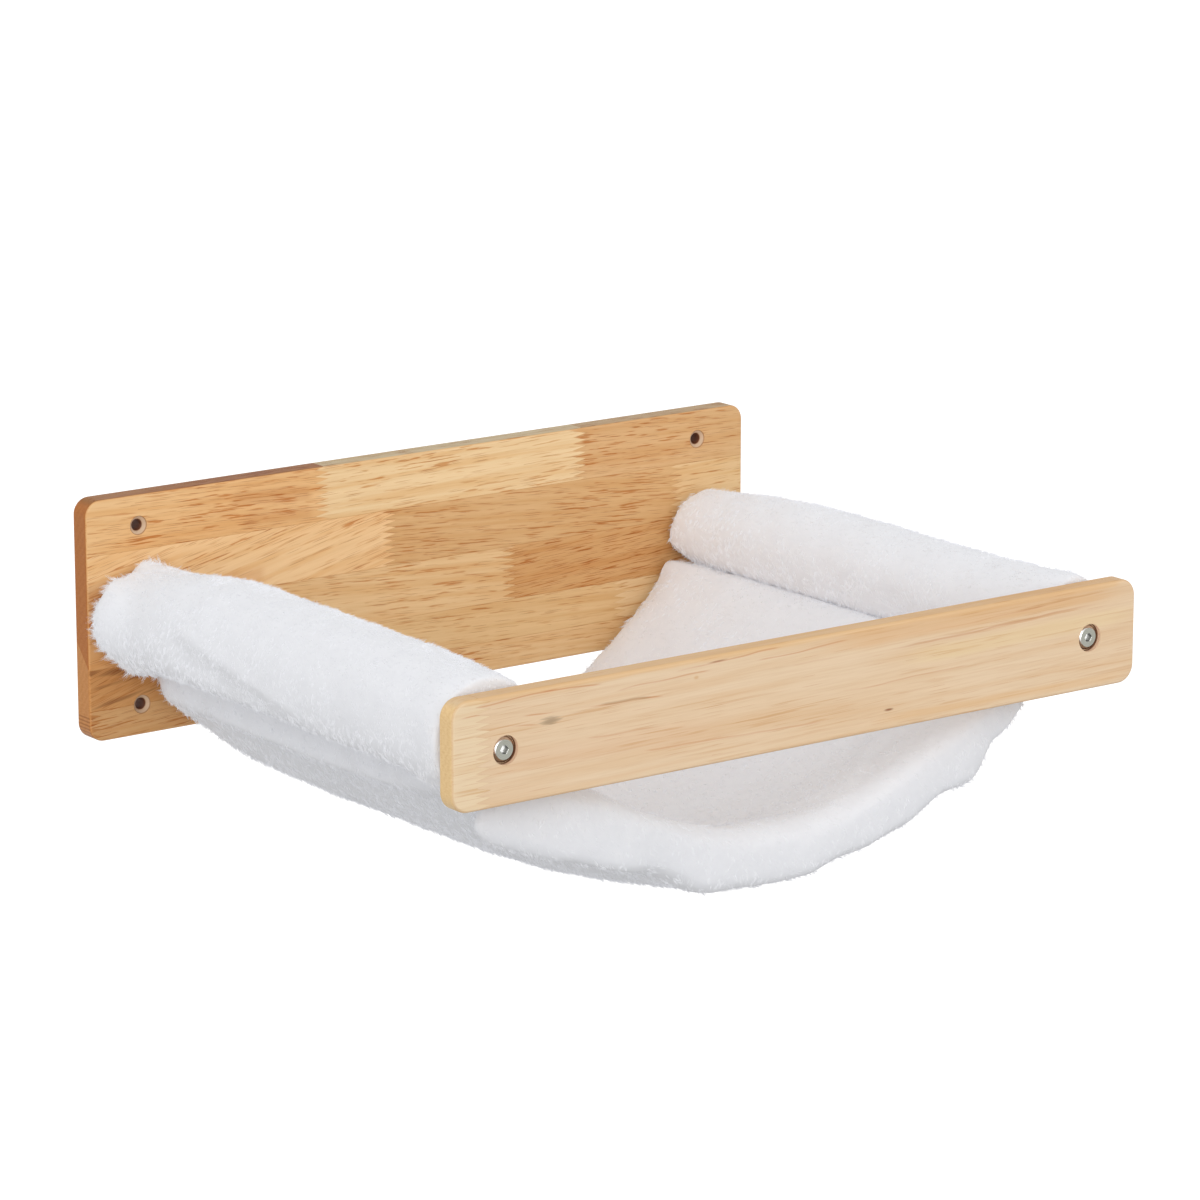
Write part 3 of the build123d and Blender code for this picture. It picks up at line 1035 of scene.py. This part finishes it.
def make_plush():
    # The swirls' noise starts from the clock unless it has a seed.
    noise.seed_set(SWIRL_SEED)
    backing = plush_backing()
    tree = pile_tree(plush_fibre())
    short = tuft_of_fibres("short_tuft", **SHORT_TUFT)
    long = tuft_of_fibres("long_tuft", **LONG_TUFT)
    grown = []
    plush = (
        ("left_sleeve", 0.6, SLEEVE_CROWD),
        ("right_sleeve", 0.6, SLEEVE_CROWD),
        ("sling_panel", 0.4, PANEL_CROWD),
    )
    for seed, (node, fill, crowd) in enumerate(plush, start=1):
        piece = plush_piece(node, backing, seed)
        points, outward = coordinates(piece.data), normals(piece.data)
        lay = combed(piece.data, PILE_FLOW, PILE_LIFT, PILE_SWIRL, seed)
        sizes = pile_sizes(crowd, scatter=0.35, shortest=0.7, longest=1.25, seed=seed)
        for region, wanted in pile_regions(node, points, outward).items():
            grown.append(brush(piece, node + region, tree, short, wanted, lay, sizes))
        if node in FRINGES:
            shag, flow, sizes = FRINGES[node]
            lay = combed(piece.data, flow, SHAG_LIFT, SHAG_SWIRL, SHAG_SWIRL_SEED)
            grown.append(brush(piece, node + "_fringe", tree, long, shag(points), lay, sizes))
        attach(piece, "root")
        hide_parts(node)
    for pile in grown:
        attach(pile, "root")
    bpy.data.objects.remove(short)
    bpy.data.objects.remove(long)


# Dressing the CAD pieces


def dress(node, material):
    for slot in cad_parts[node].material_slots:
        slot.material = material


def dress_hard_pieces():
    dress("back_board", staved_wood("board_wood", BOARD_PLAN))
    dress("front_rail", staved_wood("rail_wood", RAIL_PLAN))
    rod = rod_wood()
    bolts = {
        "front": plated_steel("front_bolt_plating", **NICKEL, face_y=RAIL_FACE_Y + HEAD_SUNK),
        "rear": plated_steel("rear_bolt_plating", **NICKEL, face_y=WALL_FACE_Y - HEAD_SUNK),
    }
    insert = plated_steel("insert_plating", **ZINC)
    for side in ("left", "right"):
        dress(side + "_rod", rod)
        for end in ("front", "rear"):
            dress(f"{end}_bolt_{side}", bolts[end])
            dress(f"{end}_insert_{side}", insert)


# Studio

WHITE = (1.0, 1.0, 1.0)
WORLD_STRENGTH = 0.72
FLOOR_LEVEL = -0.62
FLOOR_REACH = 9
FLOOR_GREY = (0.56, 0.56, 0.56)
FLOOR_GLOW = 0.70
CAMERA_PLACE = (-1.8222, -2.6692, 0.76265)
CAMERA_TARGET = (-0.14953, -0.4, 0.0758)
CAMERA_LENS = 157.07
CAMERA_SENSOR = 36
CAMERA_SIGHT = 100


def seen_directly(tree):
    """1 for rays from the camera, and for what gloss and glass show."""
    path = add_node(tree, "ShaderNodeLightPath", {}).outputs
    total = path["Is Camera Ray"]
    for kind in ("Is Glossy Ray", "Is Transmission Ray"):
        total = add_node(tree, "ShaderNodeMath", {0: total, 1: path[kind]}, operation="MAXIMUM").outputs[0]
    return total


def make_camera():
    camera = bpy.data.cameras.new("camera")
    camera.sensor_width = CAMERA_SENSOR
    camera.lens = CAMERA_LENS
    camera.clip_end = CAMERA_SIGHT
    seat = bpy.data.objects.new("camera", camera)
    seat.location = CAMERA_PLACE
    toward = Vector(CAMERA_TARGET) - seat.location
    seat.rotation_euler = toward.to_track_quat("-Z", "Y").to_euler()
    scene.collection.objects.link(seat)
    scene.camera = seat


def make_world():
    world = bpy.data.worlds.new("studio")
    tree = blank_tree(world)
    light = add_node(tree, "ShaderNodeBackground", {"Color": WHITE, "Strength": WORLD_STRENGTH})
    backdrop = add_node(tree, "ShaderNodeBackground", {"Color": WHITE, "Strength": 1.0})
    parts = {0: seen_directly(tree), 1: light.outputs[0], 2: backdrop.outputs[0]}
    mix = add_node(tree, "ShaderNodeMixShader", parts)
    add_node(tree, "ShaderNodeOutputWorld", {"Surface": mix.outputs[0]})
    scene.world = world


def make_floor():
    """A wide pale floor well below the hammock, white to the eye but for the soft shadow."""
    mesh = bpy.data.meshes.new("floor")
    corners = ((-1, -1), (1, -1), (1, 1), (-1, 1))
    points = [(x * FLOOR_REACH, y * FLOOR_REACH, FLOOR_LEVEL) for x, y in corners]
    mesh.from_pydata(points, [], [(0, 1, 2, 3)])
    floor = bpy.data.objects.new("floor", mesh)
    scene.collection.objects.link(floor)
    material = bpy.data.materials.new("floor_white")
    tree = blank_tree(material)
    matt = add_node(tree, "ShaderNodeBsdfDiffuse", {"Color": FLOOR_GREY})
    glow = add_node(tree, "ShaderNodeMath", {0: seen_directly(tree), 1: FLOOR_GLOW}, operation="MULTIPLY")
    shine = add_node(tree, "ShaderNodeEmission", {"Strength": glow.outputs[0]})
    both = add_node(tree, "ShaderNodeAddShader", {0: matt.outputs[0], 1: shine.outputs[0]})
    add_node(tree, "ShaderNodeOutputMaterial", {"Surface": both.outputs[0]})
    mesh.materials.append(material)


def sun(name, direction, strength, softness):
    light = bpy.data.lights.new(name, "SUN")
    light.energy = strength
    light.angle = math.radians(softness)
    lamp = bpy.data.objects.new(name, light)
    lamp.rotation_euler = Vector(direction).to_track_quat("-Z", "Y").to_euler()
    scene.collection.objects.link(lamp)


make_camera()
make_world()
make_floor()
sun("key", (0.68, 0.75, -0.36), strength=1.15, softness=60)
sun("fill", (-0.7, 0.5, -0.3), strength=0.30, softness=80)
scene.view_settings.view_transform = "Standard"
dress_hard_pieces()
make_plush()
